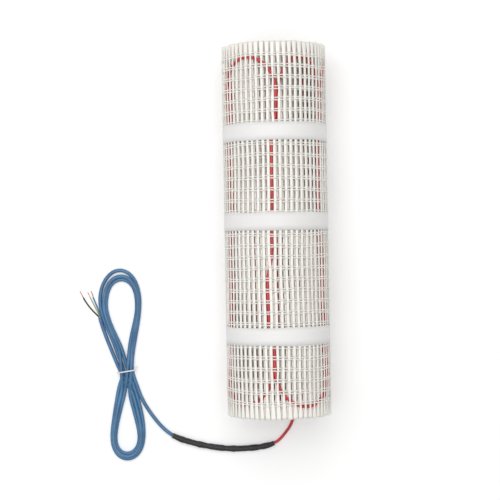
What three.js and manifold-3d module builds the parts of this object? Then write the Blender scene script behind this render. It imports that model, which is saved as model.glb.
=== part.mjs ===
// A roll of underfloor heating mat: glass-fibre mesh with a red heating cable,
// three tape strips round the roll, and a blue power lead folded into a tied hank.
// The roll lies on its side with its axis along Y. The floor is z = 0.

import * as THREE from 'three';
import { mergeVertices } from 'three/addons/utils/BufferGeometryUtils.js';
import Module from 'manifold-3d';

const wasm = await Module();
wasm.setup();

// Driving dimensions, in millimetres and degrees
const clearance = 0.3;             // between any two pieces that touch

const matWidth = 500;              // the mat's width is the roll's length
const rollRadius = 71;             // outside of the last turn
const boreRadius = 29;             // inside of the first turn
const turnCount = 10;
const turnGrooveDepth = 2;         // how far each end dips between two turns
const turnGrooveWidth = 1.2;
const rollFacets = 40;             // flats round the roll, one of them on the floor
const strandPitch = 7.3;           // the mesh's thick strands run along the roll
const slitWidth = 3.3;             // between two strands
const slitDepth = 3.5;             // nearly down to the turn below

const tapeWidth = 24;
const tapeThickness = 0.4;
const tapePlaces = { lower: -140.5, middle: 12, upper: 131 };   // centres along Y

const heatingCableDiameter = 4.1;
const legSpacing = 84;             // between two straight runs, along the mat
const firstLegAngle = 139;         // round the roll, from the top towards +X
const exitAngle = 161.5;           // where the cable leaves the roll, near the floor
const legCount = 5;                // runs on the outermost turn
const bendMargin = 22;             // from a bend to the edge of the mat
const leadInLength = 80;           // stretch in which the cable swings to its first run
const cableGrooveLift = 1.2;       // how much wider than the cable its groove opens

const sleeveDiameter = 8.4;
const leadDiameter = 5.2;
const hankHeight = 2 * leadDiameter;

const tieWidth = 2.2;              // along the strands
const tieThickness = 1;
const tieCentre = [-214, -193];
const waistWidth = 20.8;           // room for the strands inside the tie
const tieTurn = 8;                 // degrees that the tie runs askew

const coreDiameter = 2;
const earthDiameter = 1.3;
const conductorDiameter = 1.1;

// The free cables as they lie on the floor, point by point: [x, y, z]
const tailRoute = [
  [21.6, -250.3, 6.3], [21.4, -256, 5.6], [19.4, -266, 3.4], [15.6, -275, 2.3],
  [10.5, -282.3, 2.1], [4.4, -289.6, 2.4], [-1.6, -295.2, 3.2], [-6.8, -298, 3.4],
];
const sleeveRoute = [
  [-7.2, -298.2, 4.2], [-14, -300.8, 4.2], [-30, -303.8, 4.2], [-57.1, -305.3, 4.2],
  [-81.5, -303.9, 4.2], [-109.1, -299.1, 4.2], [-133.5, -292.2, 4.2], [-144, -288, 4.2],
  [-150.2, -284.9, 4.2],
];
const leadRunRoute = [
  [-150.6, -284.7, 3.7], [-155, -282.2, 3.5], [-161.6, -276.7, 2.9], [-170, -267.6, 2.6],
  [-177.5, -257.6, 2.6], [-184.6, -247.4, 2.6], [-190.6, -237, 2.6], [-195.6, -226, 2.6],
  [-199.6, -214, 2.6],
];
const leadEndRoute = [
  [-225.6, -184, 2.6], [-229.2, -176.8, 2.6], [-236.6, -158, 2.6], [-243, -141, 2.6],
  [-247.6, -127, 2.6], [-250, -117.4, 2.6],
];
const coreRoutes = {
  black: [
    [-251.25, -117.25, 1.9], [-252.2, -115.2, 1.8], [-255.6, -112, 1.5], [-260.4, -107, 1.2],
    [-266.2, -99.9, 1.1], [-270.8, -92.9, 1], [-272.8, -89.2, 1],
  ],
  earth: [
    [-250.1, -117, 3.7], [-251.4, -112.8, 3.5], [-256, -103.4, 2.6], [-260.4, -94.8, 1.6],
    [-263.6, -88.4, 0.9],
  ],
  blue: [
    [-248.95, -116.7, 1.9], [-250.2, -112, 1.6], [-253.2, -103.6, 1.2], [-256.6, -95.2, 1],
    [-259.2, -88.6, 1],
  ],
};
const conductorRoutes = {
  black: [[-272.95, -88.9, 1], [-275.2, -84.6, 0.8], [-277.7, -80, 0.6]],
  earth: [[-263.75, -88.1, 0.9], [-265.2, -84.8, 0.7], [-266.8, -81.3, 0.6]],
  blue: [[-259.3, -88.3, 1], [-260.2, -84.2, 0.8], [-262.2, -79.6, 0.6]],
};

// The hank lies flat as a figure of eight: its outer edge and its two loops' openings
const hankEdge = [
  [-204, -193], [-203.2, -165], [-195.8, -136.7], [-191.3, -108.5], [-191.6, -80],
  [-202.5, -54.8], [-220.5, -46.7], [-238.4, -54.6], [-250, -75], [-252.2, -96], [-247.6, -119],
  [-235.8, -151.3], [-226, -178], [-224.4, -196], [-229.6, -229.3], [-236.3, -262],
  [-236.8, -288.7], [-228.4, -311.5], [-217.1, -319.2], [-201.5, -310.5], [-190, -290],
  [-189.4, -262], [-195.6, -232], [-202.4, -207],
];
const upperOpening = [
  [-219.2, -65.5], [-233.6, -74.6], [-238.9, -96.2], [-231.6, -127], [-215.7, -161.4],
  [-205.8, -132.4], [-199.8, -107.7], [-201.6, -79.6],
];
const lowerOpening = [
  [-215.7, -228.4], [-221.4, -253], [-224.6, -277], [-220.6, -298.6], [-211, -306.5],
  [-204.4, -292], [-204, -268.6], [-209.2, -247],
];

// Sizes worked out from the ones above
const halfWidth = matWidth / 2;
const turnPitch = (rollRadius - boreRadius) / turnCount;
const halfFacet = Math.PI / rollFacets;
const axisHeight = rollRadius * Math.cos(halfFacet);
const recessRadius = rollRadius - tapeThickness - clearance;
const heatingCableRadius = heatingCableDiameter / 2;
const bedRadius = recessRadius - clearance - heatingCableRadius;

// How finely round and curved pieces are drawn
const cableSides = 8;
const leadSides = 10;
const cableStepsLength = 20;       // length of one step along the bedded cable
const hankEdgeSteps = 96;
const openingSteps = 36;

const finishes = {
  mesh: { color: 0xe9e6df, roughness: 0.8 },
  tape: { color: 0xedeae7, roughness: 0.55 },
  heatingCable: { color: 0xc92b33, roughness: 0.45 },
  sleeve: { color: 0x2d2a2e, roughness: 0.6 },
  lead: { color: 0x527a99, roughness: 0.45 },
  tie: { color: 0xf2f2f2, roughness: 0.5 },
  black: { color: 0x26221f, roughness: 0.5 },
  earth: { color: 0x9fb04a, roughness: 0.5 },
  copper: { color: 0xb0694a, roughness: 0.35, metalness: 1 },
};

function piece(name, geometry, finish) {
  const mesh = new THREE.Mesh(geometry, new THREE.MeshStandardMaterial(finishes[finish]));
  mesh.name = name;
  return mesh;
}

function vectors(points) {
  return points.map((point) => new THREE.Vector3(...point));
}

// Solids are cut as position-only meshes and turned back into drawable geometry
function solidOf(geometry) {
  const bare = geometry.clone();
  bare.deleteAttribute('normal');
  bare.deleteAttribute('uv');
  const merged = mergeVertices(bare);
  return new wasm.Manifold(new wasm.Mesh({
    numProp: 3,
    vertProperties: merged.attributes.position.array,
    triVerts: new Uint32Array(merged.index.array),
  }));
}

function geometryOf(solid) {
  const { vertProperties, triVerts } = solid.getMesh();
  const geometry = new THREE.BufferGeometry();
  geometry.setAttribute('position', new THREE.BufferAttribute(vertProperties, 3));
  geometry.setIndex(new THREE.BufferAttribute(triVerts, 1));
  geometry.computeVertexNormals();
  return geometry;
}

function polygon(radius, sides) {
  const corners = [];
  for (let i = 0; i < sides; i += 1) {
    const angle = (2 * Math.PI * i) / sides;
    corners.push(new THREE.Vector2(radius * Math.cos(angle), radius * Math.sin(angle)));
  }
  return new THREE.Shape(corners);
}

function sweep(path, radius, sides, steps) {
  return new THREE.ExtrudeGeometry(polygon(radius, sides), {
    extrudePath: path,
    steps,
    bevelEnabled: false,
  });
}

// A tube along a hand-laid route, with a step about every two and a half diameters
function cord(route, diameter, sides) {
  const path = new THREE.CatmullRomCurve3(vectors(route), false, 'centripetal');
  const steps = Math.max(4, Math.round(path.getLength() / (2.5 * diameter)));
  return sweep(path, diameter / 2, sides, steps);
}

// The room that a tube needs in another solid, a little longer and wider than itself
function cordRoom(route, diameter) {
  const points = vectors(route);
  const first = points[0].clone().sub(points[1]).normalize();
  const last = points.at(-1).clone().sub(points.at(-2)).normalize();
  points[0].addScaledVector(first, clearance);
  points.at(-1).addScaledVector(last, clearance);
  const path = new THREE.CatmullRomCurve3(points, false, 'centripetal');
  const radius = (diameter / 2 + clearance) / Math.cos(Math.PI / leadSides);
  return sweep(path, radius, leadSides, Math.round(path.getLength() / (2.5 * diameter)));
}

// The heating cable's course on the unrolled mat: x along the mat from the roll's
// underside, y across it. It swings in from the edge, then runs to and fro.
function cableCourse() {
  const along = (angle) => THREE.MathUtils.degToRad(180 - angle) * bedRadius;
  const bendRadius = legSpacing / 2;
  const legEnd = halfWidth - bendMargin - bendRadius;
  const start = along(firstLegAngle);
  const leadInEnd = leadInLength - halfWidth;
  const leadInMiddle = leadInLength / 2 - halfWidth;
  const course = new THREE.Path();
  course.moveTo(along(exitAngle), -halfWidth);
  course.bezierCurveTo(along(exitAngle), leadInMiddle, start, leadInMiddle, start, leadInEnd);
  for (let leg = 0; leg < legCount; leg += 1) {
    const upward = leg % 2 === 0;
    const end = upward ? legEnd : -legEnd;
    const place = start + leg * legSpacing;
    course.lineTo(place, end);
    if (leg < legCount - 1) {
      course.absarc(place + bendRadius, end, bendRadius, Math.PI, 0, upward);
    }
  }
  return course;
}

// The same course wrapped round the roll at a given radius from its axis
class RolledCourse extends THREE.Curve {
  constructor(course, radius) {
    super();
    this.course = course;
    this.radius = radius;
  }

  getPoint(t, target = new THREE.Vector3()) {
    const place = this.course.getPointAt(t);
    const angle = Math.PI - place.x / bedRadius;
    return target.set(this.radius * Math.sin(angle), place.y, this.radius * Math.cos(angle));
  }
}

function beddedSweep(radiusFromAxis, radius) {
  const course = cableCourse();
  const steps = Math.round(course.getLength() / cableStepsLength);
  return sweep(new RolledCourse(course, radiusFromAxis), radius, cableSides, steps);
}

function heatingCable() {
  return beddedSweep(bedRadius, heatingCableRadius);
}

// The groove is open to the outside, and its floor stays clear of the cable
function cableGroove() {
  const radius = heatingCableRadius + clearance + cableGrooveLift;
  return beddedSweep(bedRadius + cableGrooveLift, radius / Math.cos(Math.PI / cableSides));
}

// Rings on each end show the turns; the outside has a shallow seat for each tape strip
function rollProfile() {
  const end = [[boreRadius, 0]];
  for (let turn = 1; turn < turnCount; turn += 1) {
    const joint = boreRadius + turn * turnPitch;
    end.push([joint - turnGrooveWidth / 2, 0]);
    end.push([joint, turnGrooveDepth]);
    end.push([joint + turnGrooveWidth / 2, 0]);
  }
  end.push([rollRadius, 0]);
  const lowerEnd = end.map(([r, depth]) => [r, depth - halfWidth]);
  const upperEnd = end.map(([r, depth]) => [r, halfWidth - depth]).reverse();
  const outside = [];
  for (const place of Object.values(tapePlaces)) {
    const seat = tapeWidth / 2 + clearance;
    outside.push([rollRadius, place - seat], [recessRadius, place - seat]);
    outside.push([recessRadius, place + seat], [rollRadius, place + seat]);
  }
  return [...lowerEnd, ...outside, ...upperEnd, end[0].map((v, i) => (i ? v - halfWidth : v))];
}

function turned(profile) {
  const points = profile.map(([r, y]) => new THREE.Vector2(r, y));
  return new THREE.LatheGeometry(points, rollFacets, halfFacet);
}

// The slits follow the winding from the mat's free end, which lies closed underneath
function slitAngles() {
  const angles = [];
  let turnedBy = 0;
  for (let place = strandPitch; turnedBy < 2 * (Math.PI - halfFacet); place += strandPitch) {
    const wound = Math.sqrt(rollRadius ** 2 - (place * turnPitch) / Math.PI);
    turnedBy = ((rollRadius - wound) * 2 * Math.PI) / turnPitch;
    angles.push(Math.PI - turnedBy);
  }
  return angles.slice(0, -1);
}

function slits() {
  const depth = slitDepth + clearance;
  return wasm.Manifold.union(slitAngles().map((angle) => {
    const slit = new THREE.BoxGeometry(slitWidth, matWidth + clearance, depth);
    slit.translate(0, 0, rollRadius - slitDepth + depth / 2);
    slit.rotateY(angle);
    return solidOf(slit);
  }));
}

function meshRoll() {
  return geometryOf(solidOf(turned(rollProfile()))
    .subtract(solidOf(cableGroove()))
    .subtract(slits()));
}

function tapeStrip(place) {
  const inside = recessRadius + clearance;
  const low = place - tapeWidth / 2;
  const high = place + tapeWidth / 2;
  return turned([
    [inside, low], [rollRadius, low], [rollRadius, high], [inside, high], [inside, low],
  ]);
}

function smoothOutline(points, steps) {
  const closed = new THREE.CatmullRomCurve3(points.map(([x, y]) => new THREE.Vector3(x, y, 0)), true);
  return closed.getSpacedPoints(steps).slice(0, -1).map(({ x, y }) => new THREE.Vector2(x, y));
}

// A flat frame round the hank's waist, standing on edge across the strands. With room
// added on every side it is the notch that the tie needs.
function tieFrame(room) {
  const halfLength = waistWidth / 2 + clearance + tieThickness;
  const height = hankHeight + clearance + tieThickness;
  const frame = (inset) => [
    [inset - halfLength, inset], [halfLength - inset, inset],
    [halfLength - inset, height - inset], [inset - halfLength, height - inset],
  ].map(([x, y]) => new THREE.Vector2(x, y));
  const width = tieWidth + 2 * room;
  const shape = new THREE.Shape(frame(-room));
  shape.holes.push(new THREE.Path(frame(tieThickness + room)));
  const geometry = new THREE.ExtrudeGeometry(shape, { depth: width, bevelEnabled: false });
  geometry.translate(0, 0, -width / 2);
  geometry.rotateX(Math.PI / 2);
  geometry.rotateZ(THREE.MathUtils.degToRad(tieTurn));
  geometry.translate(tieCentre[0], tieCentre[1], 0);
  return geometry;
}

function hank() {
  const shape = new THREE.Shape(smoothOutline(hankEdge, hankEdgeSteps));
  shape.holes.push(new THREE.Path(smoothOutline(upperOpening, openingSteps)));
  shape.holes.push(new THREE.Path(smoothOutline(lowerOpening, openingSteps)));
  const slab = new THREE.ExtrudeGeometry(shape, { depth: hankHeight, bevelEnabled: false });
  return geometryOf(solidOf(slab)
    .subtract(solidOf(cordRoom(leadRunRoute, leadDiameter)))
    .subtract(solidOf(cordRoom(leadEndRoute, leadDiameter)))
    .subtract(solidOf(cordRoom(coreRoutes.blue, coreDiameter)))
    .subtract(solidOf(tieFrame(clearance))));
}

const roll = new THREE.Group();
roll.position.z = axisHeight;
roll.add(piece('mesh_roll', meshRoll(), 'mesh'));
roll.add(piece('heating_cable', heatingCable(), 'heatingCable'));
for (const [name, place] of Object.entries(tapePlaces)) {
  roll.add(piece(`tape_strip_${name}`, tapeStrip(place), 'tape'));
}

const lead = new THREE.Group();
lead.add(piece('heating_cable_tail', cord(tailRoute, heatingCableDiameter, cableSides), 'heatingCable'));
lead.add(piece('splice_sleeve', cord(sleeveRoute, sleeveDiameter, leadSides), 'sleeve'));
lead.add(piece('power_lead_run', cord(leadRunRoute, leadDiameter, leadSides), 'lead'));
lead.add(piece('power_lead_hank', hank(), 'lead'));
lead.add(piece('power_lead_end', cord(leadEndRoute, leadDiameter, leadSides), 'lead'));
lead.add(piece('hank_tie', tieFrame(0), 'tie'));
lead.add(piece('core_black', cord(coreRoutes.black, coreDiameter, cableSides), 'black'));
lead.add(piece('core_earth', cord(coreRoutes.earth, earthDiameter, cableSides), 'earth'));
lead.add(piece('core_blue', cord(coreRoutes.blue, coreDiameter, cableSides), 'lead'));
for (const [name, route] of Object.entries(conductorRoutes)) {
  lead.add(piece(`conductor_${name}`, cord(route, conductorDiameter, cableSides), 'copper'));
}

const heatingMat = new THREE.Group();
heatingMat.add(roll, lead);

export default heatingMat;
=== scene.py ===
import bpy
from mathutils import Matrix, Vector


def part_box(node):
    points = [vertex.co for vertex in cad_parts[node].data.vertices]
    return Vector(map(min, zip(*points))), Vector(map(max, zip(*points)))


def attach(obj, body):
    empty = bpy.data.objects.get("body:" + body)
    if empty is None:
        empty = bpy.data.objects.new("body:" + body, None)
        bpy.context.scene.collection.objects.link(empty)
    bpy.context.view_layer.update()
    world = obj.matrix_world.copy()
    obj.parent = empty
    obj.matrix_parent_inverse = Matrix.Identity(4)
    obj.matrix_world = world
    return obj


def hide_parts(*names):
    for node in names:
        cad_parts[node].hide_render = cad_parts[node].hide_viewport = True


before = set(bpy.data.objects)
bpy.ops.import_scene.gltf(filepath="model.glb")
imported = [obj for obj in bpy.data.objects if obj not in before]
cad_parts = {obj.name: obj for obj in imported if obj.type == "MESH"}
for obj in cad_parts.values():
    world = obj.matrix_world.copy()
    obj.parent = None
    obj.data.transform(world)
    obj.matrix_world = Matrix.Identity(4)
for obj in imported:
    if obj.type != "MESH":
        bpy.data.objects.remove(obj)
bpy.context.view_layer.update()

import math

import bpy
import numpy as np
from mathutils import Vector

# A rolled underfloor heating mat, seen from straight above, with its lead tied in a hank.
# Sizes are written in millimetres and turned into metres as they are used.
mm = 0.001
rng = np.random.default_rng(11)
rollLow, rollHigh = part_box("mesh_roll")
axisHeight = (rollLow.z + rollHigh.z) / 2 / mm
halfWidth = (rollHigh.y - rollLow.y) / 2 / mm
floorGap = 0.02               # no piece comes closer to the table than this

# The camera looks straight down, a little off the roll's middle, as in the photograph
camera = {
    "height": 1971,
    "place": (-36.4, -25.5),
    "turn": -0.018,           # the roll leans a little in the picture
    "focalPixels": 1394,
    "framePixels": 500,
    "sensorWidth": 36,
    "clipEnd": 20,            # in metres
}


def addCamera():
    data = bpy.data.cameras.new("camera")
    data.sensor_width = camera["sensorWidth"]
    data.lens = camera["sensorWidth"] * camera["focalPixels"] / camera["framePixels"]
    data.clip_end = camera["clipEnd"]
    item = bpy.data.objects.new("camera", data)
    x, y = camera["place"]
    item.location = Vector((x, y, camera["height"])) * mm
    item.rotation_euler = (0, 0, camera["turn"])
    bpy.context.collection.objects.link(item)
    bpy.context.scene.camera = item


addCamera()
print("camera placed")


# Shader maths: a socket that can be added, subtracted and multiplied
class Shade:
    def __init__(self, tree, socket=None):
        self.tree = tree
        self.socket = socket

    # Any node: its settings come first, then the values or links of its sockets
    def node(self, kind, settings=None, inputs=None, output=0):
        made = self.tree.nodes.new(kind)
        for name, value in (settings or {}).items():
            setattr(made, name, value)
        for name, value in (inputs or {}).items():
            if isinstance(value, Shade):
                self.tree.links.new(value.socket, made.inputs[name])
            else:
                made.inputs[name].default_value = value
        return Shade(self.tree, made.outputs[output])

    def math(self, operation, first, second=0.0):
        return self.node("ShaderNodeMath", {"operation": operation}, {0: first, 1: second})

    def __add__(self, other):
        return self.math("ADD", self, other)

    def __radd__(self, other):
        return self.math("ADD", other, self)

    def __sub__(self, other):
        return self.math("SUBTRACT", self, other)

    def __rsub__(self, other):
        return self.math("SUBTRACT", other, self)

    def __mul__(self, other):
        return self.math("MULTIPLY", self, other)

    def __rmul__(self, other):
        return self.math("MULTIPLY", other, self)

    # On a Mix node for colours, socket 0 is the factor, 6 and 7 are the colours, and output 2 the result
    def mix(self, dark, light):
        return self.node("ShaderNodeMix", {"data_type": "RGBA"}, {0: self, 6: dark, 7: light}, output=2)

    def between(self, low, high):
        return self.node("ShaderNodeMapRange", None, {"Value": self, "From Min": low, "From Max": high})


def newMaterial(name):
    material = bpy.data.materials.new(name)
    material.use_nodes = True
    tree = material.node_tree
    return material, Shade(tree), tree.nodes["Principled BSDF"]


def linkSurface(shade, shader, colour, roughness, height, depth):
    bump = shade.node("ShaderNodeBump", None, {"Height": height, "Distance": depth, "Strength": 1.0})
    for name, value in (("Base Color", colour), ("Roughness", roughness), ("Normal", bump)):
        shade.tree.links.new(value.socket, shader.inputs[name])


def noise(shade, scale, detail=3.0, stretch=(1, 1, 1), roughness=0.5):
    place = shade.node("ShaderNodeTexCoord", output="Object")
    place = shade.node("ShaderNodeMapping", None, {"Vector": place, "Scale": stretch})
    inputs = {"Vector": place, "Scale": scale, "Detail": detail, "Roughness": roughness}
    return shade.node("ShaderNodeTexNoise", None, inputs)


rovingLook = {"light": (0.955, 0.93, 0.875, 1), "dark": (0.87, 0.845, 0.785, 1), "stretch": (1, 0.02, 1)}
threadLook = {"light": (0.955, 0.935, 0.885, 1), "dark": (0.87, 0.85, 0.795, 1), "stretch": (0.3,) * 3}


# Glass-fibre strand: creamy, with fine streaks along the strand
def glassFibre(name, light, dark, stretch):
    material, shade, shader = newMaterial(name)
    streaks = noise(shade, scale=900, detail=4, stretch=stretch, roughness=0.6)
    cloud = noise(shade, scale=28, detail=2)
    colour = (streaks * 0.7 + cloud * 0.5).between(0.38, 0.82).mix(dark, light)
    linkSurface(shade, shader, colour, roughness=0.5 + streaks * 0.25, height=streaks, depth=0.00012)
    shader.inputs["Sheen Weight"].default_value = 0.15
    shader.inputs["Sheen Roughness"].default_value = 0.4
    shader.inputs["Specular IOR Level"].default_value = 0.4
    return material


tapeLook = {"light": (0.845, 0.838, 0.825, 1), "dark": (0.80, 0.79, 0.775, 1)}


def tapeFilm():
    material, shade, shader = newMaterial("whiteTapeFilm")
    crease = noise(shade, scale=55, stretch=(1, 2.5, 1))
    cloud = noise(shade, scale=12, detail=2)
    grain = noise(shade, scale=1400, detail=2)
    colour = cloud.between(0.3, 0.7).mix(tapeLook["dark"], tapeLook["light"])
    height = crease + grain * 0.03
    linkSurface(shade, shader, colour, roughness=0.5 + grain * 0.12, height=height, depth=0.0005)
    return material


# Each plastic's two tones, and how dull it is
redLook = {"light": (0.66, 0.045, 0.05, 1), "dark": (0.46, 0.02, 0.03, 1), "dull": 0.3}
blueLook = {"light": (0.075, 0.205, 0.375, 1), "dark": (0.045, 0.135, 0.27, 1), "dull": 0.27}
tieLook = {"light": (0.88, 0.88, 0.9, 1), "dark": (0.76, 0.77, 0.8, 1), "dull": 0.3}
blackCoreLook = {"light": (0.03, 0.026, 0.024, 1), "dark": (0.014, 0.012, 0.011, 1), "dull": 0.35}
blueCoreLook = {"light": (0.07, 0.24, 0.44, 1), "dark": (0.05, 0.18, 0.34, 1), "dull": 0.34}


def plastic(name, light, dark, dull, grainScale, depth):
    material, shade, shader = newMaterial(name)
    cloud = noise(shade, scale=45)
    grain = noise(shade, scale=grainScale)
    colour = (cloud * 0.75 + grain * 0.25).between(0.35, 0.68).mix(dark, light)
    height = grain + cloud * 1.5
    linkSurface(shade, shader, colour, roughness=dull + grain * 0.12, height=height, depth=depth)
    return material


earthLook = {"green": (0.10, 0.30, 0.10, 1), "yellow": (0.62, 0.55, 0.06, 1)}


# Green insulation with a yellow stripe along it, where the place round the core is 0.3 to 0.7
def stripedInsulation():
    material, shade, shader = newMaterial("greenYellowInsulation")
    around = shade.node("ShaderNodeAttribute", {"attribute_name": "around"}, output="Fac")
    stripe = shade.math("ABSOLUTE", around - 0.5).between(0.2, 0.23)
    grain = noise(shade, scale=900, detail=2)
    colour = stripe.mix(earthLook["yellow"], earthLook["green"])
    linkSurface(shade, shader, colour, roughness=0.38 + grain * 0.15, height=grain, depth=0.00005)
    return material


copperLook = {"light": (0.72, 0.33, 0.22, 1), "dark": (0.42, 0.15, 0.10, 1)}


def bareCopper():
    material, shade, shader = newMaterial("bareCopperStrand")
    cloud = noise(shade, scale=260)
    grain = noise(shade, scale=2600, detail=2)
    colour = cloud.between(0.35, 0.7).mix(copperLook["dark"], copperLook["light"])
    linkSurface(shade, shader, colour, roughness=0.28 + grain * 0.2, height=grain, depth=0.00003)
    shader.inputs["Metallic"].default_value = 1.0
    return material


sleeveLook = {"light": (0.038, 0.034, 0.04, 1), "dark": (0.013, 0.011, 0.014, 1)}


# Matt heat-shrink tube: long soft bumps and fine scuffs
def shrinkTube():
    material, shade, shader = newMaterial("charcoalShrinkTube")
    lumps = noise(shade, scale=95)
    scuff = noise(shade, scale=420, detail=4)
    grain = noise(shade, scale=2200, detail=2)
    colour = scuff.between(0.4, 0.75).mix(sleeveLook["dark"], sleeveLook["light"])
    height = lumps * 2.0 + scuff * 0.5 + grain * 0.2
    linkSurface(shade, shader, colour, roughness=0.36 + scuff * 0.3, height=height, depth=0.0005)
    return material


materials = {
    "roving": glassFibre("glassFibreRoving", **rovingLook),
    "thread": glassFibre("glassFibreThread", **threadLook),
    "tape": tapeFilm(),
    "redCable": plastic("redCableInsulation", grainScale=700, depth=0.00012, **redLook),
    "blueJacket": plastic("blueLeadJacket", grainScale=900, depth=0.0001, **blueLook),
    "sleeve": shrinkTube(),
    "whiteTie": plastic("whiteTieStrand", grainScale=800, depth=0.00008, **tieLook),
    "blackCore": plastic("blackCoreInsulation", grainScale=900, depth=0.00006, **blackCoreLook),
    "blueCore": plastic("blueCoreInsulation", grainScale=900, depth=0.00006, **blueCoreLook),
    "earthCore": stripedInsulation(),
    "copper": bareCopper(),
}
print("materials made:", len(materials))


# Many tubes at once, from an array of rings: tube, ring, side, then x, y, z in millimetres
def addTubes(name, rings, material, around=None):
    count, steps, sides = rings.shape[:3]
    start = np.arange(count)[:, None, None] * steps * sides
    ring = np.arange(steps - 1)[None, :, None] * sides
    here = np.arange(sides)[None, None, :]
    after = (here + 1) % sides
    corners = [ring + here, ring + after, ring + sides + after, ring + sides + here]
    quads = np.stack([start + corner for corner in corners], -1).reshape(-1, 4)
    firstCap = start[:, 0] + np.arange(sides)[::-1]
    lastCap = start[:, 0] + (steps - 1) * sides + np.arange(sides)
    caps = np.concatenate([firstCap, lastCap])
    loops = np.concatenate([quads.ravel(), caps.ravel()]).astype(np.int32)
    loopStarts = np.concatenate([np.arange(len(quads)) * 4, len(quads) * 4 + np.arange(len(caps)) * sides])
    mesh = bpy.data.meshes.new(name)
    mesh.vertices.add(count * steps * sides)
    mesh.vertices.foreach_set("co", (rings * mm).astype(np.float32).ravel())
    mesh.loops.add(len(loops))
    mesh.loops.foreach_set("vertex_index", loops)
    mesh.polygons.add(len(loopStarts))
    mesh.polygons.foreach_set("loop_start", loopStarts.astype(np.int32))
    mesh.polygons.foreach_set("use_smooth", np.arange(len(loopStarts)) < len(quads))
    mesh.update(calc_edges=True)
    if around is not None:
        layer = mesh.attributes.new("around", "FLOAT", "POINT")
        layer.data.foreach_set("value", around.astype(np.float32).ravel())
    item = bpy.data.objects.new(name, mesh)
    bpy.context.collection.objects.link(item)
    mesh.materials.append(materials[material])
    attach(item, "root")
    return item


# Points of a line at the wanted places of its own scale
def pointsAt(line, scale, wanted):
    return np.stack([np.interp(wanted, scale, line[:, axis]) for axis in range(3)], -1)


# A smooth line through given points, as evenly spaced points
def smoothLine(points, step):
    perStretch = 16
    places = np.array(points, float)
    knots = np.array([2 * places[0] - places[1], *places, 2 * places[-1] - places[-2]])
    t = np.linspace(0, 1, perStretch, endpoint=False)[:, None]
    fine = []
    for index in range(1, len(knots) - 2):
        a, b, c, d = knots[index - 1:index + 3]
        fine.append(0.5 * (2 * b + (c - a) * t + (2 * a - 5 * b + 4 * c - d) * t ** 2
                           + (3 * b - a - 3 * c + d) * t ** 3))
    fine = np.concatenate([*fine, knots[-2][None]])
    travelled = np.concatenate([[0], np.cumsum(np.linalg.norm(np.diff(fine, axis=0), axis=1))])
    count = max(3, int(round(travelled[-1] / step)) + 1)
    return pointsAt(fine, travelled, np.linspace(0, travelled[-1], count))


# Takes the kinks out of a line, more of them with more rounds; both its ends stay
def eased(line, rounds):
    line = line.copy()
    for _ in range(rounds):
        line[1:-1] += 0.25 * (line[:-2] - 2 * line[1:-1] + line[2:])
    return line


# From 0 to 1 with a soft start and a soft stop
def softStep(share):
    return share * share * (3 - 2 * share)


def lineLength(line):
    return float(np.linalg.norm(np.diff(line, axis=0), axis=1).sum())


# Rings along a line; the frame is carried along, so the tube doesn't twist
def tubeRings(line, radius, sides):
    tangents = np.gradient(line, axis=0)
    tangents /= np.linalg.norm(tangents, axis=1)[:, None]
    up = np.array([0.0, 0.0, 1.0])
    if abs(tangents[0] @ up) > 0.9:
        up = np.array([1.0, 0.0, 0.0])
    side = np.cross(tangents[0], up)
    sidesAlong = []
    for tangent in tangents:
        side = side - tangent * (side @ tangent)
        side = side / np.linalg.norm(side)
        sidesAlong.append(side)
    u = np.array(sidesAlong)
    v = np.cross(tangents, u)
    angles = np.arange(sides) * 2 * math.pi / sides
    radii = np.broadcast_to(np.asarray(radius, float), (len(line),))[:, None, None]
    ring = u[:, None] * np.cos(angles)[None, :, None] + v[:, None] * np.sin(angles)[None, :, None]
    return line[:, None] + ring * radii


def addCord(name, line, radius, sides, material):
    rings = tubeRings(line, radius, sides)[None]
    rings[..., 2] = np.maximum(rings[..., 2], floorGap)
    around = np.broadcast_to(np.arange(sides) / sides, rings.shape[:3])
    return addTubes(name, rings, material, around)


mat = {
    "length": 3000,           # along the roll's turns
    "woundRadius": 71,        # outside of the wound roll
    "outerRadius": 70.35,     # middle of the last turn of mesh
    "turnPitch": 4.2,
    "stepStart": 0.9,         # a turn is round until here, then dips under the one outside it
    "turnLength": 438,
    "fineLength": 860,        # the two outer turns, which show
    "underside": 0.06,        # its lowest strands are pressed flat this far above the table
}


# Where a place on the unrolled mat lies once it is wound up. "along" runs from the mat's
# free end under the roll, "across" is the roll's axis, "out" is away from the axis.
def onRoll(along, across, out):
    radiusLeft = np.sqrt(mat["woundRadius"] ** 2 - along * mat["turnPitch"] / math.pi)
    turns = (mat["woundRadius"] - radiusLeft) / mat["turnPitch"]
    angle = math.pi - turns * 2 * math.pi
    dip = np.clip((turns % 1 - mat["stepStart"]) / (1 - mat["stepStart"]), 0, 1)
    reach = mat["outerRadius"] - mat["turnPitch"] * (np.floor(turns) + softStep(dip)) + out
    x, y, z = np.broadcast_arrays(reach * np.sin(angle), across, axisHeight + reach * np.cos(angle))
    return np.stack([x, y, np.maximum(z, mat["underside"])], -1)


# Waves over the mat, each with its height, its length along and across, and its start
def wavesOver(waves, along, across):
    return sum(height * np.sin(along / lengthAlong + across / lengthAcross + start)
               for height, lengthAlong, lengthAcross, start in waves)


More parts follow.
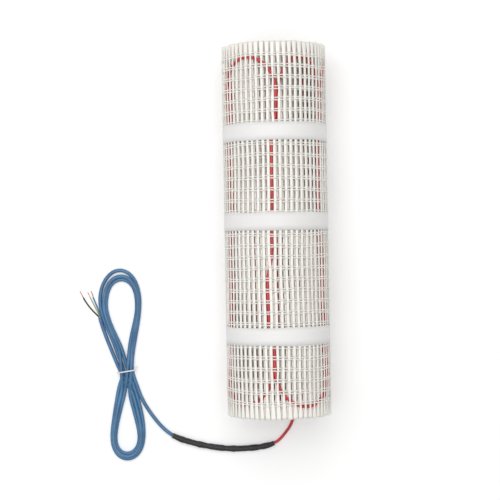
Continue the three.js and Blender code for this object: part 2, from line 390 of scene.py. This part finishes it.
roving = {
    "pitch": 7.3,             # the thick strands, along the roll's axis
    "width": 3.75,
    "endWidth": 6.4,          # they spread over the last stretch at both ends
    "spreadLength": 22,
    "spreadCurve": 0.7,
    "thickness": 0.55,
    "drift": 0.54,            # how far they wander sideways
    "waves": ((1, 93, 61, 0), (0.6, -41, 27, 1.7), (0.35, 17, 11.5, 0.6)),
    "skew": 0.0085,           # the second turn lies a little askew under the last one
    "skewStart": 20,
    "innerWidth": 4.9,        # deeper turns are pressed flatter
    "bendZone": 72,           # drawn finer near both ends, where the cable turns back
    "thinning": 0.4,          # they narrow where the cable crosses close under them
    "thinningReach": (2.7, 7.2),
    "thinningBefore": 4,      # from this far before the end of a run
    "pitchSpread": 0.22,      # no two of them lie, end or measure quite the same
    "endSpread": (0.1, 1.6),
    "widthSpread": 0.04,
    "swell": 0.07,            # each swells and narrows along its length
    "swellLength": 7.3,
    "swellShift": 1.9,
}


def rovingDrift(along, across):
    under = np.clip((along - mat["turnLength"]) / roving["skewStart"], 0, 1)
    return roving["drift"] * wavesOver(roving["waves"], along, across) + roving["skew"] * under * across


heatingCable = {
    "radius": 2.05,
    "sides": 10,
    "firstLeg": 50.6,         # distance from the mat's free end
    "legSpacing": 85.5,
    "exit": 22.7,
    "legEnd": 184,
    "entry": 14,              # it swings in from the edge until this far into the first run
    "entrySteps": 14,
    "legSteps": 19,
    "bendSteps": 20,
    "bendPeak": 227,
    "farEndMargin": 20,
    "depth": 2.45,            # its middle under the middle of the mesh
    "liftedFrom": (560, 745), # these bends of the second turn lie over the mesh, not under it
    "lift": 2.5,
    "liftBeyond": 130,
    "liftOver": 40,
    "liftSmoothing": 9,
    "shownLegs": 10,          # these run in the two outer turns
    "pushAside": 0.95,        # they spread the thick strands beside them
    "pushReach": 6,
    "pushEdge": 1.2,
    "pushEnd": 12,
    "slip": 5,                # how suddenly it slips from one slit to the next
    "hiddenWander": 3,
    # the visible runs wander off their place, here in five spots from one end to the other,
    # and the bends after them reach a little further
    "spots": 5,
    "wander": {
        1: (-1, 9, 13, 17, 9),
        2: (4.7, 12, 4.7, 4.7, -2.6),
        3: (1, -9, -11.5, -9.9, -4.5),
        6: (0, 8, 12, 1, 6),
        7: (1, -8, -8.5, -7, -17),
        8: (0, -8, -18, -30, -30),
        12: (-8, -13, -13, -8, -4),
    },
    "visibleBends": {1: 234, 2: 229.5, 6: 229, 7: 231.5},
}


# Where a run of the heating cable lies on the unrolled mat
def legPlace(leg, across):
    wander = heatingCable["wander"].get(leg)
    if wander is None:
        wander = [heatingCable["hiddenWander"] * math.sin(leg * 2.1 + spot * 1.4)
                  for spot in range(heatingCable["spots"])]
    spots = np.linspace(-heatingCable["legEnd"], heatingCable["legEnd"], heatingCable["spots"])
    drift = np.interp(across, spots, wander)
    place = (heatingCable["firstLeg"] + leg * heatingCable["legSpacing"] + drift) / roving["pitch"]
    # it keeps to the slit between two strands, and slips under a strand to the next slit
    slit = np.round(place)
    aside = place - slit
    slipped = np.sign(aside) * 0.5 * np.abs(2 * aside) ** heatingCable["slip"]
    place = (slit + slipped) * roving["pitch"]
    return place + rovingDrift(place, across)


# The cable's whole course: in from the edge, then to and fro
def cableCourse():
    legEnd = heatingCable["legEnd"]
    firstStart = heatingCable["entry"] - legEnd
    start = heatingCable["exit"]
    first = legPlace(0, firstStart)
    course = []
    for t in np.linspace(0, 1, heatingCable["entrySteps"], endpoint=False):
        course.append((start + (first - start) * softStep(t), -halfWidth + t * (halfWidth + firstStart)))
    room = mat["length"] - heatingCable["firstLeg"] - heatingCable["farEndMargin"]
    legs = int(room / heatingCable["legSpacing"]) + 1
    for leg in range(legs):
        way = 1 if leg % 2 == 0 else -1
        legStart = firstStart if leg == 0 else -legEnd
        for across in np.linspace(legStart, legEnd, heatingCable["legSteps"]):
            course.append((legPlace(leg, way * across), way * across))
        if leg == legs - 1:
            break
        here = legPlace(leg, way * legEnd)
        there = legPlace(leg + 1, way * legEnd)
        height = heatingCable["visibleBends"].get(leg, heatingCable["bendPeak"]) - legEnd
        for angle in np.linspace(math.pi, 0, heatingCable["bendSteps"])[1:-1]:
            along = (here + there) / 2 + (there - here) / 2 * math.cos(angle)
            course.append((along, way * (legEnd + height * math.sin(angle))))
    return np.array(course)


# How close a strand passes to the cable's turn-back bends, from 0 to 1
def overBend(along, across):
    course = cableCourse()
    bends = course[np.abs(course[:, 1]) > heatingCable["legEnd"] - roving["thinningBefore"]]
    closeness = np.zeros(along.shape)
    for place, side in bends:
        distance = np.hypot(along - place, across - side)
        closeness = np.maximum(closeness, np.interp(distance, roving["thinningReach"], (1, 0)))
    return closeness


# The strands beside a visible run of the cable stand a little apart
def besideCable(along, across):
    legEnd = heatingCable["legEnd"]
    push = 0
    for leg in range(heatingCable["shownLegs"]):
        gap = along - legPlace(leg, np.clip(across, -legEnd, legEnd))
        fading = np.exp(-(gap / heatingCable["pushReach"]) ** 2)
        push = push + np.tanh(gap / heatingCable["pushEdge"]) * fading
    pastEnd = np.clip((np.abs(across) - legEnd) / heatingCable["pushEnd"], 0, 1)
    return heatingCable["pushAside"] * push * (1 - pastEnd)


# The thick strands between two distances along the mat
def addRovings(name, low, high, fineSteps, steps, sides):
    places = np.arange(low, high, roving["pitch"]) + roving["pitch"] / 2
    count = len(places)
    places = (places + rng.normal(0, roving["pitchSpread"], count))[:, None]
    ends = halfWidth - rng.uniform(*roving["endSpread"], (2, count))
    zone = roving["bendZone"] / (2 * halfWidth)
    near = np.linspace(0, zone, fineSteps)
    t = np.concatenate([near, np.linspace(zone, 1 - zone, steps)[1:-1], 1 - near[::-1]])
    across = -ends[0][:, None] + (ends[0] + ends[1])[:, None] * t
    fromEnd = halfWidth - np.abs(across)
    spread = np.clip(1 - fromEnd / roving["spreadLength"], 0, 1) ** roving["spreadCurve"]
    width = roving["width"] if high <= mat["fineLength"] else roving["innerWidth"]
    width = width + (roving["endWidth"] - width) * spread
    swell = roving["swell"] * np.sin(across / roving["swellLength"] + places * roving["swellShift"])
    width = width * (1 + swell + rng.normal(0, roving["widthSpread"], (count, 1)))
    middle = places + rovingDrift(places, across)
    width = width * (1 - roving["thinning"] * overBend(middle, across))
    middle = middle + besideCable(middle, across)
    angles = np.arange(sides) * 2 * math.pi / sides
    along = middle[..., None] - width[..., None] / 2 * np.sin(angles)
    out = roving["thickness"] / 2 * np.cos(angles)
    rings = onRoll(along, across[..., None], out)
    return addTubes(name, rings, "roving")


thread = {
    "pitch": 15,              # pairs of thin threads round the roll
    "gap": 3.3,               # between the two threads of a pair
    "width": 1.7,
    "thickness": 0.42,
    "weave": 0.42,            # over one roving and under the next
    "pinch": 0.28,            # the two of a pair close up between the rovings
    "lowerMargin": 22,        # from the last pair to the mat's edge, at either end
    "upperMargin": 17.5,
    "waves": ((0.9, 47, 35, 0), (0.6, 19, -21, 0)),
    "ripple": 0.25,           # each thread wavers by itself
    "rippleLength": 9,
    "placeSpread": 0.12,
}


# Pairs of thin threads, woven over one roving and under the next
def addThreads(name, low, high, step, sides):
    lower = thread["lowerMargin"] - halfWidth
    upper = halfWidth - thread["upperMargin"]
    rows = np.linspace(lower, upper, int(round((upper - lower) / thread["pitch"])) + 1)
    places = np.concatenate([rows - thread["gap"] / 2, rows + thread["gap"] / 2])[:, None]
    over = np.concatenate([np.ones(len(rows)), -np.ones(len(rows))])[:, None]
    along = np.arange(low, high + step / 2, step)
    phase = math.pi * along / roving["pitch"]
    weave = thread["weave"] * over * np.sin(phase)
    ripple = thread["ripple"] * np.sin(along / thread["rippleLength"] + rng.uniform(0, 6, places.shape))
    aside = rng.normal(0, thread["placeSpread"], places.shape)
    sway = wavesOver(thread["waves"], along, places) + ripple + aside
    across = places + sway + thread["pinch"] * over * np.cos(2 * phase)
    angles = np.arange(sides) * 2 * math.pi / sides
    out = weave[..., None] + thread["thickness"] / 2 * np.cos(angles)
    wide = across[..., None] + thread["width"] / 2 * np.sin(angles)
    rings = onRoll(along[None, :, None], wide, out)
    return addTubes(name, rings, "thread")


turnLength, fineLength, pitch = mat["turnLength"], mat["fineLength"], roving["pitch"]
meshPieces = [
    addRovings("mesh_rovings_outer", 0, fineLength, fineSteps=23, steps=18, sides=8),
    addRovings("mesh_rovings_inner", fineLength, mat["length"], fineSteps=6, steps=12, sides=6),
    addThreads("mesh_threads_last_turn", 0, turnLength, step=pitch / 4, sides=4),
    addThreads("mesh_threads_second_turn", turnLength, fineLength, step=pitch / 4, sides=4),
    addThreads("mesh_threads_inner", fineLength, mat["length"], step=pitch, sides=3),
]
for item in meshPieces:
    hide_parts("mesh_roll")
print("mesh wound:", sum(len(item.data.polygons) for item in meshPieces), "faces")


# The heating cable is wound up with the mesh, on its inner side but for a few bends
def addHeatingCable():
    along, across = cableCourse().T
    low, high = heatingCable["liftedFrom"]
    nearEnds = np.clip((np.abs(across) - heatingCable["liftBeyond"]) / heatingCable["liftOver"], 0, 1)
    lifted = nearEnds * ((along > low) & (along < high))
    window = heatingCable["liftSmoothing"]
    lift = np.convolve(lifted, np.ones(window) / window, "same") * heatingCable["lift"]
    line = onRoll(along, across, lift - heatingCable["depth"])
    rings = tubeRings(line, heatingCable["radius"], heatingCable["sides"])[None]
    item = addTubes("heating_cable_wound", rings, "redCable")
    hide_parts("heating_cable")
    print("heating cable wound:", round(lineLength(line) * mm, 2), "m")


addHeatingCable()

tape = {
    "width": 24,
    "thickness": 0.16,
    "radius": 70.9,
    "steps": 260,
    "lap": 0.22,              # it laps over its own start by this angle
    "lapHeight": 0.24,
    "lapRise": 0.6,           # of the lap
    "edgeWave": 0.35,
    "edgeWaves": ((1, 3, 1), (0.6, 7.3, 2)),  # height, how many round the roll, and shift
    "lowEdgeWave": 0.8,      # its other edge wavers less
    "ripple": 0.07,
    "belly": 0.1,             # a little fuller in the middle of its width
    "places": {"lower": -140.5, "middle": 12, "upper": 131},
    # round the strip's section: how far to the side, then 1 on the outside and 0 on the mesh
    "section": ((-1, 1), (-0.34, 1), (0.34, 1), (1, 1), (1, 0), (-1, 0)),
}


# A tape strip lies on the mesh all the way round and laps over its own start
def addTape(which, place, seed):
    lap = tape["lap"]
    angle = np.linspace(-math.pi - lap / 2, math.pi + lap / 2, tape["steps"])
    lift = np.clip((angle - (math.pi - lap)) / (lap * tape["lapRise"]), 0, 1) * tape["lapHeight"]
    wave = sum(height * np.sin(angle * count + shift * seed) for height, count, shift in tape["edgeWaves"])
    wave = wave * tape["edgeWave"]
    ripple = tape["ripple"] * np.cos(angle * tape["radius"] / roving["pitch"])
    middle = tape["radius"] - tape["thickness"] / 2 + lift + ripple
    corners = []
    for side, outside in tape["section"]:
        edge = wave * side * (1 if side > 0 else tape["lowEdgeWave"])
        radius = middle + tape["belly"] * (1 - abs(side)) * outside + (outside - 0.5) * tape["thickness"]
        y = place + side * tape["width"] / 2 + edge
        z = np.maximum(axisHeight + radius * np.cos(angle), floorGap * (1 + outside))
        corners.append(np.stack([radius * np.sin(angle), y, z], -1))
    item = addTubes("tape_strip_band_" + which, np.stack(corners, 1)[None], "tape")
    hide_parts("tape_strip_" + which)


for index, (which, place) in enumerate(tape["places"].items()):
    addTape(which, place, seed=1.3 * index)
print("tape strips laid")

tail = {
    "sides": 16,
    "step": 2,
    "route": [
        (21.6, -250.3, 6.3), (21.4, -256, 5.6), (19.4, -266, 3.4), (15.6, -275, 2.3),
        (10.5, -282.3, 2.1), (4.4, -289.6, 2.4), (-1.6, -295.2, 3.2), (-6.8, -298, 3.4),
    ],
}


# The heating cable's free end, from the mat's edge down to the splice
def addTail():
    line = smoothLine(tail["route"], tail["step"])
    radius = heatingCable["radius"]
    item = addCord("heating_cable_free_tail", line, radius, tail["sides"], "redCable")
    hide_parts("heating_cable_tail")


sleeve = {
    "radius": 4.2,
    "sides": 20,
    "cableEnd": 3.3,          # its radius at the heating cable and at the lead
    "leadEnd": 3.65,
    "cableTaper": 0.1,        # shares of its length
    "leadTaper": 0.12,
    "lumps": ((0.22, 37, 0), (0.16, 61, 2), (0.1, 113, 1)), # height, how close, where they start
    "step": 1.2,
    "route": [
        (-7.2, -298.2, 4.2), (-14, -300.8, 4.2), (-30, -303.8, 4.2), (-57.1, -305.3, 4.2),
        (-81.5, -303.9, 4.2), (-109.1, -299.1, 4.2), (-133.5, -292.2, 4.2), (-144, -288, 4.2),
        (-150.2, -284.9, 4.2),
    ],
}


# Shrunk over the splice: thick in the middle, tight on the cables at both ends
def addSleeve():
    line = smoothLine(sleeve["route"], sleeve["step"])
    t = np.linspace(0, 1, len(line))
    fromCable = softStep(np.clip(t / sleeve["cableTaper"], 0, 1))
    fromLead = softStep(np.clip((1 - t) / sleeve["leadTaper"], 0, 1))
    radius = sleeve["cableEnd"] + (sleeve["radius"] - sleeve["cableEnd"]) * fromCable
    radius = radius - (sleeve["radius"] - sleeve["leadEnd"]) * (1 - fromLead)
    lumps = sum(height * np.sin(t * close + start) for height, close, start in sleeve["lumps"])
    radius = radius + lumps * fromCable * fromLead
    item = addCord("splice_sleeve_shrunk", line, radius, sleeve["sides"], "sleeve")
    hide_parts("splice_sleeve")


addTail()
addSleeve()
print("tail and sleeve laid")

lead = {
    "radius": 2.6,
    "sides": 16,
    "step": 2.5,
    "easing": 20,
    "fromSleeve": [
        (-150.6, -284.7, 3.7), (-155, -282.2, 3.5), (-161.6, -276.7, 2.9), (-170, -267.6, 2.6),
        (-177.5, -257.6, 2.6), (-184.6, -247.4, 2.6), (-190.6, -237, 2.6), (-195.6, -226, 2.6),
        (-200.2, -211, 2.6),
    ],
    "toCores": [
        (-229.2, -176.8, 2.6), (-236.6, -158, 2.6), (-243, -141, 2.6), (-247.6, -127, 2.6),
        (-250, -117.4, 2.6),
    ],
}
# The hank's two loops, as the middle lines of their outermost and innermost strands, each
# from the waist's right side round to its left side. The third strand of a loop rides on
# those two, at a share of the way between them that is given in a few spots round the loop.
hank = {
    "waist": (-214, -193),
    "waistSlope": 0.15,
    "loopSteps": 26,
    "upperStep": 5,           # strands at the waist lie on each other in two layers
    "upperOuter": [
        (-203.6, -163), (-198.6, -137), (-194, -109), (-194.2, -82), (-203.6, -58.4), (-220.5, -49.3),
        (-236.6, -56.6), (-247.4, -76), (-249.6, -97), (-244.4, -121), (-231.9, -150.2), (-225.6, -170),
    ],
    "upperInner": [
        (-207.8, -152), (-203.2, -132.4), (-197.6, -107), (-199.4, -80), (-207.6, -66.6), (-220.6, -62.4),
        (-235, -71.4), (-241.4, -96.4), (-239.6, -112), (-234.2, -129), (-225.4, -148.4), (-220, -161),
    ],
    "lowerOuter": [
        (-202.4, -219), (-196.4, -240), (-192, -262), (-190.8, -284), (-193.8, -302), (-202.4, -314.4),
        (-214.8, -318.8), (-226.6, -314), (-234.4, -301.6), (-236, -284), (-233.8, -266), (-229.8, -242),
        (-226.4, -224), (-223.6, -210),
    ],
    "lowerInner": [
        (-210, -226), (-205.4, -245), (-200, -267), (-196.6, -286), (-199.6, -301.4), (-207, -309.4),
        (-215.2, -311.2), (-223.6, -308.8), (-230.2, -299.6), (-231, -283), (-227, -262), (-221.8, -242),
        (-218.4, -230), (-216, -220),
    ],
    "upperRiding": (0.45, 0.4, 0.55, 0.66, 0.66, 0.6, 0.5),
    "lowerRiding": (0.5, 0.5),
}


# One strand round a loop. A riding strand comes down to the floor where there is room.
def loopStrand(outer, inner, spots, riding=False):
    t = np.linspace(0, 1, hank["loopSteps"])
    outer, inner = [smoothLine([(x, y, 0) for x, y in points], 1) for points in (outer, inner)]
    outer = pointsAt(outer, np.linspace(0, 1, len(outer)), t)
    inner = pointsAt(inner, np.linspace(0, 1, len(inner)), t)
    share = np.interp(t, np.linspace(0, 1, len(spots)), spots)
    room = np.linalg.norm(outer - inner, axis=1) * np.minimum(share, 1 - share)
    line = outer + (inner - outer) * share[:, None]
    line[:, 2] = lead["radius"]
    if riding:
        line[:, 2] += np.sqrt(np.clip(4 * lead["radius"] ** 2 - room * room, 0, None))
    return line


def loopStrands(which):
    outer, inner = hank[which + "Outer"], hank[which + "Inner"]
    return [
        loopStrand(outer, inner, (0, 0)),
        loopStrand(outer, inner, (1, 1)),
        loopStrand(outer, inner, hank[which + "Riding"], riding=True),
    ]


# The whole lead: to the hank, three times round both its loops, and out to the cores
def leadLine():
    upper = loopStrands("upper")
    lower = loopStrands("lower")
    floor = lead["radius"]
    top = floor + hank["upperStep"]
    # places through the waist, from its middle, and what follows each
    passes = [
        (7.6, floor, upper[0]),
        (-2.8, floor + 0.4, lower[0][::-1]),
        (2.4, floor, upper[1][::-1]),
        (1.8, top, lower[1][::-1]),
        (7.2, top, upper[2]),
        (-6.6, top, lower[2][::-1]),
        (-8, floor, lead["toCores"]),
    ]
    x, y = hank["waist"]
    route = list(lead["fromSleeve"])
    for offset, height, stretch in passes:
        route += [(x + offset, y + offset * hank["waistSlope"], height), *stretch]
    return eased(smoothLine(route, lead["step"]), lead["easing"])


def addLead():
    line = leadLine()
    item = addCord("power_lead", line, lead["radius"], lead["sides"], "blueJacket")
    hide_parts("power_lead_run", "power_lead_hank", "power_lead_end")
    length = lineLength(line) * mm
    print("power lead laid:", round(length, 3), "m")
    return item, line, length


leadPiece, leadPath, leadLength = addLead()

hankTie = {
    "radius": 0.95,
    "sides": 10,
    "step": 0.8,
    "length": 24,
    "height": 12.6,
    "turn": 9,                # in degrees
    "steps": 48,
    "start": 0.3,             # angle round the waist where its two ends meet
    "squareness": 0.55,
    "slant": 0.22,
    "end": [(2.2, 1.4, -1.5), (4.4, 3.4, -3.6)],
}


# The tie: a thin round strand, pulled tight round the waist, with a short end sticking out
def addTie():
    turn = math.radians(hankTie["turn"])
    halfLength = hankTie["length"] / 2
    halfHeight = hankTie["height"] / 2
    squareness = hankTie["squareness"]
    ring = []
    for angle in np.linspace(hankTie["start"], 2 * math.pi + hankTie["start"], hankTie["steps"]):
        c, s = math.cos(angle), math.sin(angle)
        x = halfLength * math.copysign(abs(c) ** squareness, c)
        z = halfHeight + (halfHeight - hankTie["radius"]) * math.copysign(abs(s) ** squareness, s)
        slant = (angle - math.pi) * hankTie["slant"]
        ring.append((hank["waist"][0] + x * math.cos(turn) - slant * math.sin(turn),
                     hank["waist"][1] + x * math.sin(turn) + slant, z))
    x, y, z = ring[-1]
    ring += [(x + right, y + up, z + rise) for right, up, rise in hankTie["end"]]
    line = smoothLine(ring, hankTie["step"])
    item = addCord("hank_tie_strand", line, hankTie["radius"], hankTie["sides"], "whiteTie")
    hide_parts("hank_tie")
    return item


core = {
    "sides": 14,
    "step": 0.8,
    "looks": {                # radius, finish and slot of each
        "black": (1.0, "blackCore", "black_core"),
        "earth": (0.65, "earthCore", "green_yellow_core"),
        "blue": (1.0, "blueCore", "blue_core"),
    },
    "routes": {
        "black": [
            (-251.25, -117.25, 1.9), (-252.2, -115.2, 1.8), (-255.6, -112, 1.5), (-260.4, -107, 1.2),
            (-266.2, -99.9, 1.1), (-270.8, -92.9, 1), (-272.8, -89.2, 1),
        ],
        "earth": [
            (-250.1, -117, 3.7), (-251.4, -112.8, 3.5), (-256, -103.4, 2.6), (-260.4, -94.8, 1.6),
            (-263.6, -88.4, 0.9),
        ],
        "blue": [
            (-248.95, -116.7, 1.9), (-250.2, -112, 1.6), (-253.2, -103.6, 1.2), (-256.6, -95.2, 1),
            (-259.2, -88.6, 1),
        ],
    },
}
conductor = {
    "strands": 7,
    "strandRadius": 0.2,
    "sides": 8,
    "spacing": 0.39,          # from the middle strand to those round it
    "lay": 9,                 # length of one twist
    "step": 0.25,
    "earthSize": 0.75,
    "fanStart": 0.75,         # the strands part a little over the last quarter
    "fan": 0.35,
    "routes": {
        "black": [(-272.95, -88.9, 1), (-275.2, -84.6, 0.8), (-277.7, -80, 0.6)],
        "earth": [(-263.75, -88.1, 0.9), (-265.2, -84.8, 0.7), (-266.8, -81.3, 0.6)],
        "blue": [(-259.3, -88.3, 1), (-260.2, -84.2, 0.8), (-262.2, -79.6, 0.6)],
    },
}


def addCores():
    made = []
    for name, route in core["routes"].items():
        radius, look, slotName = core["looks"][name]
        line = smoothLine([*route, conductor["routes"][name][0]], core["step"])
        item = addCord("core_insulation_" + name, line, radius, core["sides"], look)
        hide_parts("core_" + name)
        made.append(item)
    return made


# Bare ends: seven fine strands, six laid round the seventh
def addConductors():
    made = []
    for name, route in conductor["routes"].items():
        line = smoothLine([core["routes"][name][-1], *route], conductor["step"])
        frames = tubeRings(line, 1.0, 4)
        u = frames[:, 0] - line
        v = frames[:, 1] - line
        travelled = np.arange(len(line)) * conductor["step"]
        parting = np.interp(travelled / travelled[-1], (conductor["fanStart"], 1), (0, 1))
        size = conductor["earthSize"] if name == "earth" else 1.0
        strands = []
        for strand in range(conductor["strands"]):
            reach = 0 if strand == 0 else conductor["spacing"] * size
            fan = 1 + conductor["fan"] * parting * (strand % 3)
            angle = strand * math.pi / 3 + travelled * 2 * math.pi / conductor["lay"]
            offset = u * np.cos(angle)[:, None] + v * np.sin(angle)[:, None]
            path = line + offset * (reach * fan)[:, None]
            path[:, 2] = np.maximum(path[:, 2], conductor["strandRadius"])
            strands.append(tubeRings(path, conductor["strandRadius"] * size, conductor["sides"]))
        item = addTubes("conductor_strands_" + name, np.stack(strands), "copper")
        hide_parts("conductor_" + name)
        made.append(item)
    return made


onLead = [addTie(), *addCores(), *addConductors()]
leadPath[0] * mm
leadPath * mm
print("tie, cores and conductors made")

# A white table and soft light from all round, brightest from above; these sizes are in metres
studio = {
    "floorSize": 12,
    "floorTone": 0.92,
    "floorRoughness": 0.7,
    "floorGlow": 0.12,
    "worldTone": 0.48,
    "keyPower": 48,
    "keySize": 2.6,
    "keyPlace": (-0.3, 0.4, 2.5),
}


def addTable():
    half = studio["floorSize"] / 2
    mesh = bpy.data.meshes.new("table")
    corners = [(-half, -half, 0), (half, -half, 0), (half, half, 0), (-half, half, 0)]
    mesh.from_pydata(corners, [], [(0, 1, 2, 3)])
    table = bpy.data.objects.new("table", mesh)
    bpy.context.collection.objects.link(table)
    material, _, shader = newMaterial("whiteTable")
    tone = studio["floorTone"]
    shader.inputs["Base Color"].default_value = (tone, tone, tone, 1)
    shader.inputs["Roughness"].default_value = studio["floorRoughness"]
    shader.inputs["Emission Color"].default_value = (1, 1, 1, 1)
    shader.inputs["Emission Strength"].default_value = studio["floorGlow"]
    mesh.materials.append(material)


def addLight():
    world = bpy.data.worlds.new("studio")
    bpy.context.scene.world = world
    world.use_nodes = True
    background = world.node_tree.nodes["Background"]
    background.inputs["Color"].default_value = (1, 1, 1, 1)
    background.inputs["Strength"].default_value = studio["worldTone"]
    light = bpy.data.lights.new("key", "AREA")
    light.shape = "SQUARE"
    light.size = studio["keySize"]
    light.energy = studio["keyPower"]
    item = bpy.data.objects.new("key", light)
    item.location = studio["keyPlace"]
    item.rotation_euler = (-item.location).to_track_quat("-Z", "Y").to_euler()
    bpy.context.collection.objects.link(item)
    bpy.context.scene.view_settings.view_transform = "Standard"


addTable()
addLight()
print("table laid and lit")
